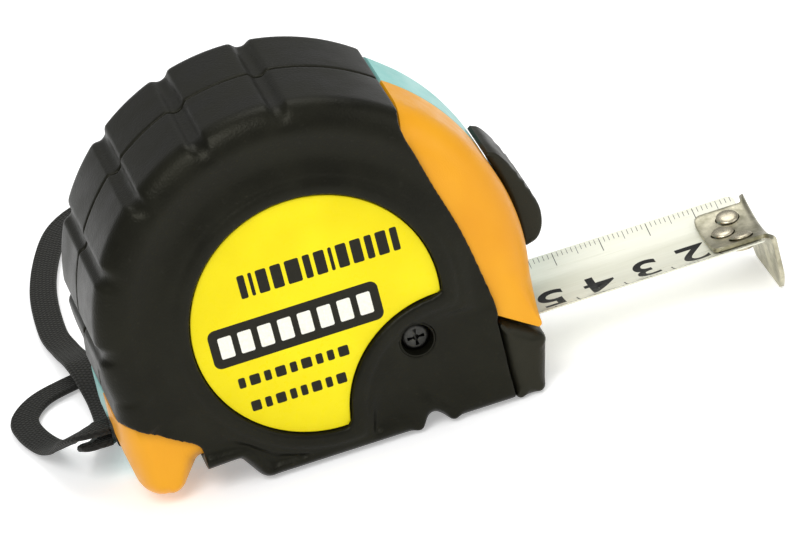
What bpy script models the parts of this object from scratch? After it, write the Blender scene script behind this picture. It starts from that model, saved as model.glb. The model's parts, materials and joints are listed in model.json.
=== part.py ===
"""A 7.5 m tape measure: a two-colour case in rubber grips, a spring-wound blade with an end hook, a thumb
lock, a belt clip and a wrist strap.

Lengths are in millimetres and become metres where a mesh is made. The design frame has its origin at the
centre of the case's round rim, in the case's middle plane: +X runs out of the mouth along the blade, +Z is up
and +Y points to the far, teal half. The empty "tape_measure" sets that frame above the ground.
"""

from math import acos, asin, atan2, ceil, cos, degrees, hypot, pi, radians, sin, sqrt

import bmesh
import bpy
from mathutils import Matrix, Vector

MM = 0.001

# Case
RIM_RADIUS = 42.5  # over the grip pads
CASE_HEIGHT = 76.0
BASE = RIM_RADIUS - CASE_HEIGHT  # height of the ground below the rim's centre
FRONT_CENTRE = (1.5, -3.0)  # the front of the case is an arc, and the lock slides along it
FRONT_RADIUS = 44.0
RUBBER = 2.0
GAP = 0.3  # between pieces that touch
CORE_RADIUS = 40.2  # rim of the shell under the rubber
WALL = 2.0
SEAM = 0.15  # half the joint between the two shells
SHELL_FACE = 19.2  # outer face of a shell, from the middle plane
CAVITY_FACE = 16.0
GRIP_FACE = 21.2
LIP_FACE = 22.0
GRIP_END = 50.2  # degrees round the rim where the grip stops at the front
GRIP_START = 191.3  # and where its round part ends, above the heel
GROOVES = (84.5, 108.0, 131.0, 154.0, 177.0)  # degrees round the rim, between the grip's pads
PAD_HEIGHT = 1.2

# Label and screws
LABEL_CENTRE = (0.7, -1.7)
LABEL_RADIUS = 25.0
LABEL_THICKNESS = 0.5
BITE = (24.8, -28.2, 23.0)  # round bite out of the label: centre and radius
LIP_WIDTH = 2.9
FRONT_SCREW = (18.7, -13.8)
FAR_SCREWS = {"top": (21.5, 25.0), "rear": (-26.0, 22.5), "heel": (-33.5, -8.0)}
SCREW_HOLE = 1.65
SCREW_RECESS = 3.6
BOSS_RADIUS = 2.5
CLIP_SCREW = (0.0, 12.0)
STRAP_PIN = (-36.2, -22.2)

# Spool and blade
SPOOL = (-4.0, 5.2)
COIL_RADIUS = 24.8
BLADE_WIDTH = 25.0
BLADE_THICKNESS = 0.3
BLADE_RISE = 3.0  # how far the edges stand above the middle
BLADE_LOW = -23.5  # underside of the blade's middle
BLADE_START = 18.0
BLADE_END = 92.4
HOOK_FACE = 93.6
HOOK_THICKNESS = 1.0
HOOK_FOOT = BASE + 0.4

RIVETS = ((86.5, 0.0), (89.0, -5.6), (89.0, 5.6))

# Lock: the button, its shank and the arm, as angles round the front's centre
BUTTON_FOOT = -6.0
BUTTON_TIP = 22.5
LOCK_TRAVEL_SLOT = (-2.0, 20.0)
SHANK_SPAN = (0.0, 8.0)

# Belt clip: faces along Y, then heights
CLIP_BASE = 21.25
CLIP_FACE = 27.6
CLIP_TOP = 20.0
CLIP_BEND = 2.0
CLIP_HALF = 9.0

# Ground frame: the box round the object without its strap stands on the origin.
ORIGIN = Vector((
    (HOOK_FACE + HOOK_THICKNESS - RIM_RADIUS) / 2,
    (CLIP_FACE - LIP_FACE) / 2,
    BASE,
))


def clear_scene():
    for thing in list(bpy.data.objects):
        bpy.data.objects.remove(thing, do_unlink=True)


def material(name, colour, roughness, metallic=0.0):
    made = bpy.data.materials.new(name)
    made.use_nodes = True
    shader = made.node_tree.nodes["Principled BSDF"]
    shader.inputs["Base Color"].default_value = (*colour, 1.0)
    shader.inputs["Roughness"].default_value = roughness
    shader.inputs["Metallic"].default_value = metallic
    return made


def empty(name, place, parent=None):
    """An empty at a place in the design frame; the root's own place is the frame itself."""
    made = bpy.data.objects.new(name, None)
    bpy.context.collection.objects.link(made)
    made.parent = parent
    made.location = Vector(place) * MM
    return made


def add(name, bm, finish, body):
    """An object from a mesh drawn in the design frame, carried by its body's empty."""
    bmesh.ops.triangulate(bm, faces=[f for f in bm.faces if len(f.verts) == 4])
    bmesh.ops.recalc_face_normals(bm, faces=bm.faces)
    mesh = bpy.data.meshes.new(name)
    bm.to_mesh(mesh)
    bm.free()
    made = bpy.data.objects.new(name, mesh)
    bpy.context.collection.objects.link(made)
    if finish:
        mesh.materials.append(finish)
    made.parent = body
    if body.parent:
        made.location = -body.location
    return made


def cutter(name, bm, body):
    made = add(name, bm, None, body)
    made.hide_render = True
    made.display_type = "WIRE"
    return made


def combine(target, tool, operation="DIFFERENCE"):
    step = target.modifiers.new(tool.name, "BOOLEAN")
    step.operation = operation
    step.object = tool
    step.solver = "EXACT"


def smooth(made, angle=35):
    made.data.shade_smooth()
    made.data.set_sharp_from_angle(angle=radians(angle))


# Outlines are lists of (x, z, limit), anticlockwise seen from the near side. The limit is how far the
# outline can be inset at that point before a rounded corner closes up.


def arc(centre, radius, start, end, step=6.0, limit=1e3):
    count = max(1, ceil(abs(end - start) / step))
    turns = [radians(start + (end - start) * i / count) for i in range(count + 1)]
    return [(centre[0] + radius * cos(t), centre[1] + radius * sin(t), limit) for t in turns]


def corner(before, at, after, radius, step=30.0):
    """A rounded corner, as points on its arc."""
    a = (Vector(before) - Vector(at)).normalized()
    b = (Vector(after) - Vector(at)).normalized()
    half = acos(max(-1.0, min(1.0, a.dot(b)))) / 2
    centre = Vector(at) + (a + b).normalized() * (radius / sin(half))
    start = Vector(at) + a * (radius / sin(half)) * cos(half) - centre
    end = Vector(at) + b * (radius / sin(half)) * cos(half) - centre
    first = degrees(atan2(start.y, start.x))
    sweep = (degrees(atan2(end.y, end.x)) - first + 180) % 360 - 180
    limit = radius if sweep > 0 else 1e3
    return arc(centre, radius, first, first + sweep, step, limit)


def outline(*pieces):
    """Joins rounded corners (x, z, radius) and ready lists of points into one outline."""
    spine = []
    for piece in pieces:
        spine += [(piece, None)] if isinstance(piece, tuple) else [(point, point) for point in piece]
    points = []
    for i, (piece, ready) in enumerate(spine):
        if ready:
            points.append(ready)
        elif piece[2] == 0:
            points.append((piece[0], piece[1], 1e3))
        else:
            before = spine[i - 1][0][:2]
            after = spine[(i + 1) % len(spine)][0][:2]
            points += corner(before, piece[:2], after, piece[2])
    return points


def inset(points, depth):
    """The outline moved inwards by one small, even depth."""
    moved = []
    for i, (x, z, limit) in enumerate(points):
        before = Vector((x, z)) - Vector(points[i - 1][:2])
        after = Vector(points[(i + 1) % len(points)][:2]) - Vector((x, z))
        along = (before.normalized() + after.normalized()).normalized()
        reach = min(depth, 0.8 * limit) / max(along.dot(before.normalized()), 0.5)
        moved.append((x - along.y * reach, z + along.x * reach, max(limit - depth, 0.1)))
    return moved


def trend(points, i, reach=4.0):
    """The outline's direction near a point, over a reach to each side, so small steps don't count."""
    ends = []
    for way in (1, -1):
        at, k, left = Vector(points[i][:2]), i, reach
        while left > 0:
            k += way
            onward = Vector(points[k % len(points)][:2]) - at
            at = at + onward * min(1.0, left / onward.length)
            left -= onward.length
        ends.append(at)
    return (ends[0] - ends[1]).normalized()


def rounded_in(points, depths):
    """The outline moved inwards by its own depth at each point, less wherever a tight corner is near."""
    moved = []
    for i, (x, z, limit) in enumerate(points):
        depth = min([depths[i]] + [0.8 * c + hypot(x - a, z - b) for a, b, c in points if c < 100])
        along = trend(points, i)
        moved.append((x - along.y * depth, z + along.x * depth, limit))
    return moved


def loft(rings, closed=False):
    """A mesh through equally long rings, with flat ends unless the rings close on themselves."""
    bm = bmesh.new()
    made = [[bm.verts.new(Vector(p) * MM) for p in ring] for ring in rings]
    pairs = list(zip(made, made[1:] + made[:1] if closed else made[1:]))
    for low, high in pairs:
        for i in range(len(low)):
            j = (i + 1) % len(low)
            bm.faces.new((low[i], low[j], high[j], high[i]))
    if not closed:
        bm.faces.new(made[0])
        bm.faces.new(made[-1])
    return bm


def at_y(points, y):
    return [(x, y, z) for x, z, _ in points]


def prism(points, low, high):
    return loft([at_y(points, low), at_y(points, high)])


def box(low, high):
    corners = [(low[0], low[2], 0), (high[0], low[2], 0), (high[0], high[2], 0), (low[0], high[2], 0)]
    return prism(corners, low[1], high[1])


def merged(*meshes):
    """Separate closed meshes in one, to cut or add together."""
    whole = bmesh.new()
    for part in meshes:
        spare = bpy.data.meshes.new("spare")
        part.to_mesh(spare)
        part.free()
        whole.from_mesh(spare)
        bpy.data.meshes.remove(spare)
    return whole


def turned(centre, profile, sides=24, phase=0.0, closed=False):
    """A round shape about Y, from (radius, y) pairs. A radius may be a function of the angle."""
    rings = []
    for radius, y in profile:
        ring = []
        for i in range(sides):
            turn = 2 * pi * i / sides + phase
            reach = radius(turn) if callable(radius) else radius
            ring.append((centre[0] + reach * cos(turn), y, centre[1] + reach * sin(turn)))
        rings.append(ring)
    return loft(rings, closed)


def rounding(depths, start, face, steps=4):
    """(depth at each point, y) along a quarter round from the side wall to the outer face."""
    made = []
    for i in range(steps + 1):
        turn = radians(90) * i / steps
        made.append(([d * (1 - cos(turn)) for d in depths], start + (face - start) * sin(turn)))
    return made


# Case


def shell_outline():
    """The outside of a shell: open at the front and the heel, set back where the rubber covers it."""
    return outline(
        (34.7, -31.2, 1.0),
        (34.7, -14.9, 0.6),
        (44.0, -21.3, 1.0),
        arc(FRONT_CENTRE, FRONT_RADIUS, -10, 54.2, 6.5),
        arc((0, 0), CORE_RADIUS, GRIP_END, GRIP_START, 7),
        [(-39.9, -12.9, 1e3), (-42.1, -13.7, 1e3)],
        (-42.3, -21.0, 12.0),
        (-40.4, -31.9, 5.0),
        (-33.2, -32.2, 4.0),
        (-28.2, -26.4, 2.0),
        (-19.6, -26.0, 0.8),
        (-15.3, -31.2, 1.0),
        (15.8, -31.2, 0.8),
        (18.2, -28.3, 1.2),
        (20.8, -31.2, 0.8),
    )


def roundness(x, z):
    """How far in from the outline a shell's face starts: most on the bare front, least under rubber."""
    if x > 34 and z < -14:
        return 0.9
    if x > 25 and z > -14:
        return 8.0
    if x < -18.5 and z < -8:
        return 5.5
    return 3.0


def shell_rings(points, grow):
    """The rounded outside of a shell, grown by a gap."""
    outer = inset(points, -grow)
    depths = [roundness(x, z) for x, z, _ in points]
    rings = [at_y(outer, SEAM if grow == 0 else -1.0)]
    for ring, y in rounding(depths, SHELL_FACE - 8.0, SHELL_FACE, 4):
        rings.append(at_y(rounded_in(outer, ring), y + grow))
    return rings


def mirror(rings, side):
    return [[(x, side * y, z) for x, y, z in ring] for ring in rings]


def mouth_slot():
    half = BLADE_WIDTH / 2 + 0.9
    return box((30.0, -half, BLADE_LOW - 1.7), (50.0, half, BLADE_LOW + BLADE_RISE + 1.0))


def lock_slot():
    low, high = LOCK_TRAVEL_SLOT
    outer = arc(FRONT_CENTRE, FRONT_RADIUS + 3, low, high)
    inner = arc(FRONT_CENTRE, FRONT_RADIUS - 4, high, low)
    return prism(outer + inner, -3.3, 3.3)


def strap_slot():
    return box((-46.0, -4.2, STRAP_PIN[1] - 2.9), (-37.0, 4.2, STRAP_PIN[1] + 2.9))


def add_bosses(shell, side, finish):
    """Screw posts from the shell's face to the seam, and the pin's shorter sockets, then their holes."""
    screws = [FRONT_SCREW, *FAR_SCREWS.values()]
    deep, blind = side * 17.0, side * 12.0
    posts = [turned(at, [(BOSS_RADIUS, side * SEAM), (BOSS_RADIUS, side * 17.5)], 12) for at in screws]
    posts.append(turned(STRAP_PIN, [(BOSS_RADIUS, side * 8.5), (BOSS_RADIUS, side * 17.0)], 12))
    posts.append(turned(SPOOL, [(5.0, side * 14.9), (5.0, side * 17.0)], 16))
    combine(shell, cutter(shell.name + "_posts", merged(*posts), shell.parent), "UNION")
    holes = [turned(STRAP_PIN, [(SCREW_HOLE, side * 7.0), (SCREW_HOLE, side * 13.0)], 12)]
    holes.append(turned(SPOOL, [(3.8, side * 13.0), (3.8, side * 16.6)], 16))
    for at in screws:
        if (side < 0) == (at == FRONT_SCREW):
            narrow = [(SCREW_HOLE, -side), (SCREW_HOLE, deep)]
            wide = [(SCREW_RECESS, deep), (SCREW_RECESS, side * 30)]
            holes.append(turned(at, narrow + wide, 16))
        else:
            holes.append(turned(at, [(SCREW_HOLE, -side), (SCREW_HOLE, blind)], 12))
    if side > 0:
        holes.append(turned(CLIP_SCREW, [(1.8, 14.0), (1.8, 30.0)], 16))
    combine(shell, cutter(shell.name + "_holes", merged(*holes), shell.parent))


def case_shell(name, side, finish, body):
    """One half of the case: a rounded cup with screw posts, and slots for what passes through."""
    points = shell_outline()
    wall = inset(points, WALL)
    cavity = [
        at_y(rounded_in(wall, [4.0] * len(wall)), CAVITY_FACE),
        at_y(rounded_in(wall, [1.0] * len(wall)), CAVITY_FACE - 3.2),
        at_y(wall, CAVITY_FACE - 5.0),
        at_y(wall, SEAM),
    ]
    shell = add(name, loft(mirror(cavity + shell_rings(points, 0), side)), finish, body)
    add_bosses(shell, side, finish)
    for word, tool in (("mouth", mouth_slot), ("lock", lock_slot), ("strap", strap_slot)):
        combine(shell, cutter(f"{name}_{word}", tool(), body))
    smooth(shell)


def grip_region():
    """Where a grip covers its shell, seen from the side."""
    return outline(
        (34.7, -40.0, 0),
        (34.7, -15.4, 0),
        (35.6, -12.5, 0),
        (34.3, -4.0, 0),
        (32.4, 6.0, 0),
        (29.4, 16.5, 0),
        (27.3, 24.5, 0),
        (26.0, 31.4, 0),
        (29.4, 35.6, 0),
        (32.0, 50.0, 0),
        (-50.0, 50.0, 0),
        (-50.0, -12.8, 0),
        (-41.2, -12.8, 0),
        (-27.6, -21.9, 0),
        (-27.6, -40.0, 0),
    )


def pad_arc(height):
    """The rim of a grip: pads that stand up between narrow grooves."""
    low = RIM_RADIUS - PAD_HEIGHT
    points = []
    stops = [GRIP_END - 3.0, *GROOVES, GRIP_START]
    for before, after in zip(stops, stops[1:]):
        first = before + (2.6 if before in GROOVES else 0)
        last = after - (2.6 if after in GROOVES else 0)
        points += arc((0, 0), low + height, first, last, 6)
        if after in GROOVES:
            points += arc((0, 0), low, after - 1.1, after + 1.1, 2.2)
    return points


def grip_outline(height):
    return outline(
        (42.0, BASE, 0),
        (46.0, 20.0, 0),
        (36.0, 36.0, 0),
        pad_arc(height),
        [(-42.2, -13.6, 1e3)],
        (-42.6, -19.5, 3.0),
        (-30.5, -28.2, 2.0),
        (-20.9, -27.7, 1.0),
        (-17.3, BASE, 3.0),
        (15.5, BASE, 1.5),
        (18.2, -30.3, 1.5),
        (21.5, BASE, 1.5),
    )


def label_outline(grow, step=8.0):
    """The round label with its bite, grown by a margin."""
    x, z = BITE[0] - LABEL_CENTRE[0], BITE[1] - LABEL_CENTRE[1]
    big, small, apart = LABEL_RADIUS + grow, BITE[2] - grow, hypot(x, z)
    middle = degrees(atan2(z, x))
    open_half = degrees(acos((big * big + apart * apart - small * small) / (2 * big * apart)))
    bite_half = degrees(acos((small * small + apart * apart - big * big) / (2 * small * apart)))
    rim = arc(LABEL_CENTRE, big, middle + open_half, middle + 360 - open_half, step)
    hollow = arc(BITE[:2], small, middle + 180 + bite_half, middle + 180 - bite_half, step)
    return rim + hollow[1:-1]


def grip(name, side, finish, body):
    """A rubber cover: padded rim, rounded shoulder, raised lip round the label's pocket."""
    plain = grip_outline(PAD_HEIGHT)
    depths = [2.6 if z < -25 else 5.0 for _, z, _ in plain]
    rings = [at_y(plain, SEAM)]
    for step, (ring, y) in enumerate(rounding(depths, GRIP_FACE - 5.0, GRIP_FACE, 4)):
        fade = PAD_HEIGHT * (1 - 0.2 * step)
        rings.append(at_y(rounded_in(grip_outline(fade), ring), y))
    made = add(name, loft(mirror(rings, side)), finish, body)
    lip = prism(label_outline(LIP_WIDTH), side * (GRIP_FACE - 0.5), side * LIP_FACE)
    combine(made, cutter(name + "_lip", lip, body), "UNION")
    combine(made, cutter(name + "_region", prism(grip_region(), -30.0, 30.0), body), "INTERSECT")
    core = loft(mirror(shell_rings(shell_outline(), GAP), side))
    combine(made, cutter(name + "_core", core, body))
    pocket = prism(label_outline(GAP, 6.0), side * (GRIP_FACE - 1.0), side * 30.0)
    combine(made, cutter(name + "_pocket", pocket, body))
    entries = [FRONT_SCREW] if side < 0 else list(FAR_SCREWS.values())
    holes = [turned(at, [(SCREW_RECESS, side * 10.0), (SCREW_RECESS, side * 30.0)], 20) for at in entries]
    if side > 0:
        holes.append(turned(CLIP_SCREW, [(1.8, 10.0), (1.8, 30.0)], 16))
    combine(made, cutter(name + "_holes", merged(*holes), body))
    smooth(made)


def label(name, side, finish, body):
    low = GRIP_FACE - 1.0 + 0.25
    sheet = prism(label_outline(0, 5.0), side * low, side * (low + LABEL_THICKNESS))
    plate = add(name, sheet, finish, body)
    if side > 0:
        hole = turned(CLIP_SCREW, [(1.8, 10.0), (1.8, 30.0)], 16)
        combine(plate, cutter(name + "_hole", hole, body))


def nose_block(finish, body):
    """The black bumper at the front of the base, with the blade's way out through it."""
    profile = outline(
        (35.0, BASE, 1.0),
        (41.2, BASE, 1.5),
        (44.0, -21.9, 1.4),
        (35.0, -15.6, 0.6),
    )
    half = 20.4
    side = [(depth, y) for depth, y in rounding([2.4] * len(profile), half - 2.4, half, 3)]
    rings = [at_y(rounded_in(profile, d), y) for d, y in side]
    rings = [[(x, -y, z) for x, y, z in ring] for ring in reversed(rings)] + rings
    block = add("nose_block", loft(rings), finish, body)
    combine(block, cutter("nose_block_mouth", mouth_slot(), body))
    smooth(block)


# Screws


def cross(turn):
    """Half-width of a cross recess at an angle."""
    arm = min(abs((turn + pi / 4) % (pi / 2) - pi / 4), pi / 4)
    return 1.7 if arm < radians(16) else 0.6


def screw(name, at, side, head, length, finish, body, radius=2.9, shank=1.3):
    """A pan-head screw along Y. side is the side that its head is on, head the y under its head."""
    profile = [
        (shank * 0.5, head - length),
        (shank, head - length + 1.2),
        (shank, head),
        (radius, head),
        (radius, head + 1.1),
        (radius - 0.6, head + 1.8),
        (cross, head + 1.8),
        (cross, head + 0.7),
    ]
    made = add(name, turned(at, [(r, side * y) for r, y in profile], 16, pi / 16), finish, body)
    smooth(made, 40)


# Spool


def spool(body, fixed, finishes):
    post = [(2.4, -16.3), (3.4, -16.3 + 0.9), (3.4, 15.4), (2.4, 16.3)]
    smooth(add("spool_post", turned(SPOOL, post, 16), finishes["steel"], fixed))
    drum = [(12.0, -12.9), (13.4, -12.9), (13.4, 12.9), (12.0, 12.9)]
    smooth(add("spool_drum", turned(SPOOL, drum, 28, closed=True), finishes["white"], body))
    for word, side in (("right", -1), ("left", 1)):
        inner, outer, near, far = 4.0, COIL_RADIUS + 0.4, side * 13.2, side * 14.2
        disc = [(inner, near), (outer, near), (outer, far), (inner, far)]
        smooth(add(f"flange_{word}", turned(SPOOL, disc, 36, closed=True), finishes["white"], body))
    coil = [(13.7, -12.5), (COIL_RADIUS, -12.5), (COIL_RADIUS, 12.5), (13.7, 12.5)]
    smooth(add("blade_coil", turned(SPOOL, coil, 40, closed=True), finishes["blade"], body))
    add("mainspring", mainspring(), finishes["spring"], body)


def mainspring():
    """A flat spring wound in a spiral between the post and the drum."""
    turns, steps, thick, half = 6, 16, 0.35, 12.0
    inner, outer = 4.2, 11.3
    rings = []
    for i in range(turns * steps + 1):
        turn = 2 * pi * i / steps
        radius = inner + (outer - inner) * i / (turns * steps)
        ring = []
        for r, y in ((radius, -half), (radius + thick, -half), (radius + thick, half), (radius, half)):
            ring.append((SPOOL[0] + r * cos(turn), y, SPOOL[1] + r * sin(turn)))
        rings.append(ring)
    return loft(rings)


# Blade and hook


def blade_height(y):
    """Underside of the curved blade across its width."""
    half = BLADE_WIDTH / 2
    radius = (half * half + BLADE_RISE * BLADE_RISE) / (2 * BLADE_RISE)
    return BLADE_LOW + radius - sqrt(radius * radius - y * y)


def curved_band(half, low, high, steps=10):
    """The (y, z) outline of a band along the blade's curve, from low to high above its underside."""
    across = [-half + 2 * half * i / steps for i in range(steps + 1)]
    under = [(y, blade_height(y) + low) for y in across]
    return under + [(y, blade_height(y) + high) for y in reversed(across)]


def along_x(points, low, high):
    return loft([[(x, y, z) for y, z in points] for x in (low, high)])


def rivet_frame(x, y):
    """Where a rivet stands on the curved blade, square to its surface."""
    half = BLADE_WIDTH / 2
    radius = (half * half + BLADE_RISE * BLADE_RISE) / (2 * BLADE_RISE)
    place = Vector((x, y, blade_height(y))) * MM
    return Matrix.Translation(place) @ Matrix.Rotation(asin(y / radius), 4, "X")


def upright(profile, stretch=0.0, sides=12):
    """A round shape about Z, from (radius, z) pairs, drawn out along X by a stretch."""
    rings = []
    for radius, z in profile:
        ring = []
        for i in range(sides):
            turn = 2 * pi * (i + 0.5) / sides
            x = radius * cos(turn)
            ring.append((x + (stretch if x > 0 else -stretch), radius * sin(turn), z))
        rings.append(ring)
    return loft(rings)


def placed(bm, frame):
    bmesh.ops.transform(bm, matrix=frame, verts=bm.verts)
    return bm


def blade(body, finishes):
    strip = along_x(curved_band(BLADE_WIDTH / 2, 0.0, BLADE_THICKNESS), BLADE_START, BLADE_END)
    made = add("blade", strip, finishes["blade"], body)
    holes = [placed(upright([(1.6, -2.0), (1.6, 2.0)]), rivet_frame(*at)) for at in RIVETS]
    combine(made, cutter("blade_holes", merged(*holes), body))
    smooth(made)
    for number, at in enumerate(RIVETS, 1):
        foot = [(1.2, -0.9), (2.1, -0.7), (2.1, -0.3), (1.3, -0.3)]
        head = [(1.3, 1.7), (2.3, 1.7), (2.3, 2.1), (1.3, 2.5)]
        shape = placed(upright(foot + head), rivet_frame(*at))
        smooth(add(f"hook_rivet_{number}", shape, finishes["steel"], body))


def end_hook(body, finish):
    """A plate that lies on the blade's end and a leg bent down in front of it."""
    low = BLADE_THICKNESS + GAP
    high = low + 0.8
    outer = HOOK_FACE + HOOK_THICKNESS
    plate = along_x(curved_band(8.6, low, high, 8), 82.6, outer - 0.2)
    made = add("end_hook", plate, finish, body)
    half = 12.0
    top = [(y, blade_height(y) + high) for y in (half - i * half / 5 for i in range(11))]
    sides = [(-half, -27.0), (-half + 3.5, HOOK_FOOT), (half - 3.5, HOOK_FOOT), (half, -27.0)]
    leg = along_x([*sides, *top], HOOK_FACE, outer)
    combine(made, cutter("end_hook_leg", leg, body), "UNION")
    slots = [placed(upright([(1.65, 0.2), (1.65, 3.0)], 0.9), rivet_frame(*at)) for at in RIVETS]
    combine(made, cutter("end_hook_slots", merged(*slots), body))
    smooth(made)


def blade_guide(finish, body):
    """A saddle on the case's floor that the blade slides over."""
    across = curved_band(12.2, -0.4, -0.4, 8)[:9]
    floor = BLADE_LOW - 5.2
    add("blade_guide", along_x([*across, (12.2, floor), (-12.2, floor)], 22.5, 31.5), finish, body)


# Lock


def lock(body, finishes):
    """The thumb button on the front arc, the arm behind the wall, and the pad that grips the blade."""
    heights = (
        (BUTTON_FOOT, 1.7),
        (-4.8, 3.0),
        (-2.5, 4.2),
        (0.5, 4.8),
        (4.0, 4.8),
        (12.0, 3.6),
        (20.0, 2.6),
        (BUTTON_TIP, 1.7),
    )
    inner = FRONT_RADIUS + GAP
    top = [arc(FRONT_CENTRE, inner + rise, turn, turn)[0] for turn, rise in heights]
    under = arc(FRONT_CENTRE, inner, BUTTON_TIP, BUTTON_FOOT, 5)
    profile = top + under
    rings = [at_y(inset(profile, depth), y) for depth, y in ((0.7, -8.0), (0, -7.2), (0, 7.2), (0.7, 8.0))]
    button = add("lock_button", loft(rings), finishes["black"], body)
    low, high = SHANK_SPAN
    shank = arc(FRONT_CENTRE, inner + 0.4, low, high, 4) + arc(FRONT_CENTRE, FRONT_RADIUS - 2.4, high, low, 4)
    combine(button, cutter("lock_button_shank", prism(shank, -3.0, 3.0), body), "UNION")
    smooth(button)
    arm_outer = FRONT_RADIUS - 2.4 - GAP
    arm = [
        *arc(FRONT_CENTRE, arm_outer, -8, 8.5, 4),
        *arc(FRONT_CENTRE, arm_outer - 2.2, 8.5, -4, 4),
        (35.5, -7.6, 1e3),
        (25.4, -11.5, 1e3),
        (24.0, -20.7, 1e3),
        (27.9, -20.7, 1e3),
        (27.9, -13.6, 1e3),
    ]
    add("lock_arm", prism(arm, -6.0, 6.0), finishes["black"], body)
    add("brake_pad", box((24.2, -4.5, -22.5), (27.7, 4.5, -21.0)), finishes["rubber"], body)


# Clip


def clip_sheet(spine, half, low_half):
    """A bent steel strip 1 mm thick, from (y, z) points on its inner face, narrower at its far end."""
    rings = []
    for i, (y, z) in enumerate(spine):
        wide = half + (low_half - half) * i / (len(spine) - 1)
        rings.append([(-wide, y, z), (wide, y, z), (wide, y + 1.0, z), (-wide, y + 1.0, z)])
    return loft(rings)


def belt_clip(body, fixed, finishes):
    plate = clip_sheet([(CLIP_BASE, CLIP_TOP), (CLIP_BASE, CLIP_BEND + 0.3)], CLIP_HALF, CLIP_HALF)
    base = add("clip_plate", plate, finishes["steel"], fixed)
    combine(base, cutter("clip_plate_hole", turned(CLIP_SCREW, [(1.8, 10.0), (1.8, 30.0)], 16), fixed))
    reach = CLIP_FACE - 1.0
    spine = [
        (CLIP_BASE, CLIP_BEND),
        (CLIP_BASE + 0.5, 0.5),
        (reach - 1.2, -3.5),
        (reach - 0.2, -6.0),
        (reach, -9.0),
        (reach - 0.2, -15.0),
        (reach - 1.3, -21.0),
        (reach - 2.0, -25.0),
        (reach - 1.8, -27.0),
        (reach - 0.6, -29.0),
    ]
    smooth(add("clip_spring", clip_sheet(spine, CLIP_HALF, CLIP_HALF - 2.0), finishes["steel"], body))
    screw("clip_screw", CLIP_SCREW, 1, CLIP_BASE + 1.0 + GAP, 6.2, finishes["steel"], fixed, 3.2, 1.4)


# Strap

STRAP_ROUTE = (
    (-42.7, 0.0, -21.0),
    (-45.0, 0.3, -21.1),
    (-47.8, 2.0, -21.9),
    (-50.2, 6.5, -24.4),
    (-52.0, 13.0, -28.6),
    (-54.2, 21.0, -31.6),
    (-56.4, 30.0, -32.1),
    (-56.4, 37.5, -32.1),
    (-52.0, 44.0, -32.1),
    (-44.5, 47.3, -32.1),
    (-34.0, 49.6, -32.1),
    (-22.0, 54.0, -32.1),
    (-12.5, 64.0, -32.1),
    (-8.0, 80.0, -32.1),
    (-7.0, 98.0, -32.1),
    (-9.5, 115.0, -32.1),
    (-15.5, 127.0, -32.1),
    (-24.5, 131.0, -32.1),
    (-32.5, 125.0, -32.1),
    (-38.0, 112.0, -32.1),
    (-42.2, 94.0, -32.1),
    (-43.8, 74.0, -32.1),
    (-43.0, 62.0, -31.2),
    (-42.2, 52.0, -29.3),
    (-41.8, 47.0, -28.8),
    (-41.2, 41.0, -29.3),
    (-40.6, 31.0, -31.2),
    (-41.4, 20.0, -31.6),
    (-44.0, 11.5, -29.6),
    (-46.6, 5.5, -26.8),
    (-46.6, 1.7, -24.7),
    (-44.8, 0.3, -23.8),
    (-42.7, 0.0, -23.6),
)


def between(a, b, c, d, t):
    """A point of a smooth curve that passes through its own points."""
    square = (2 * a - 5 * b + 4 * c - d) * t * t
    cube = (3 * b - a - 3 * c + d) * t ** 3
    return 0.5 * (2 * b + (c - a) * t + square + cube)


def wrist_strap(finish, body):
    """The loop of webbing, which lies on the ground behind the case. Its own band is 6 mm wide."""
    stops = [Vector(p) * MM for p in STRAP_ROUTE]
    stops = [stops[0] * 2 - stops[1], *stops, stops[-1] * 2 - stops[-2]]
    points = []
    for a, b, c, d in zip(stops, stops[1:], stops[2:], stops[3:]):
        points += [between(a, b, c, d, t) for t in (0.0, 0.5)]
    points.append(stops[-2])
    curve = bpy.data.curves.new("wrist_strap", "CURVE")
    curve.dimensions = "3D"
    curve.bevel_depth = 1.1 * MM
    curve.bevel_resolution = 2
    curve.use_fill_caps = True
    spline = curve.splines.new("POLY")
    spline.points.add(len(points) - 1)
    for knot, point in zip(spline.points, points):
        knot.co = (*point, 1.0)
    curve.materials.append(finish)
    made = bpy.data.objects.new("wrist_strap", curve)
    bpy.context.collection.objects.link(made)
    made.parent = body


def strap_pin(finishes, body):
    """The pin between the shells and the eye of webbing sewn round it."""
    pin = [(1.0, -12.2), (1.3, -11.9), (1.3, 11.9), (1.0, 12.2)]
    smooth(add("strap_pin", turned(STRAP_PIN, pin, 16), finishes["steel"], body))
    eye = outline((-42.2, -24.9, 0.8), (-33.2, -24.9, 2.6), (-33.2, -19.5, 2.6), (-42.2, -19.5, 0.8))
    made = add("strap_eye", prism(eye, -3.0, 3.0), finishes["strap"], body)
    hole = turned(STRAP_PIN, [(1.6, -5.0), (1.6, 5.0)], 16)
    combine(made, cutter("strap_eye_hole", hole, body))


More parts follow.
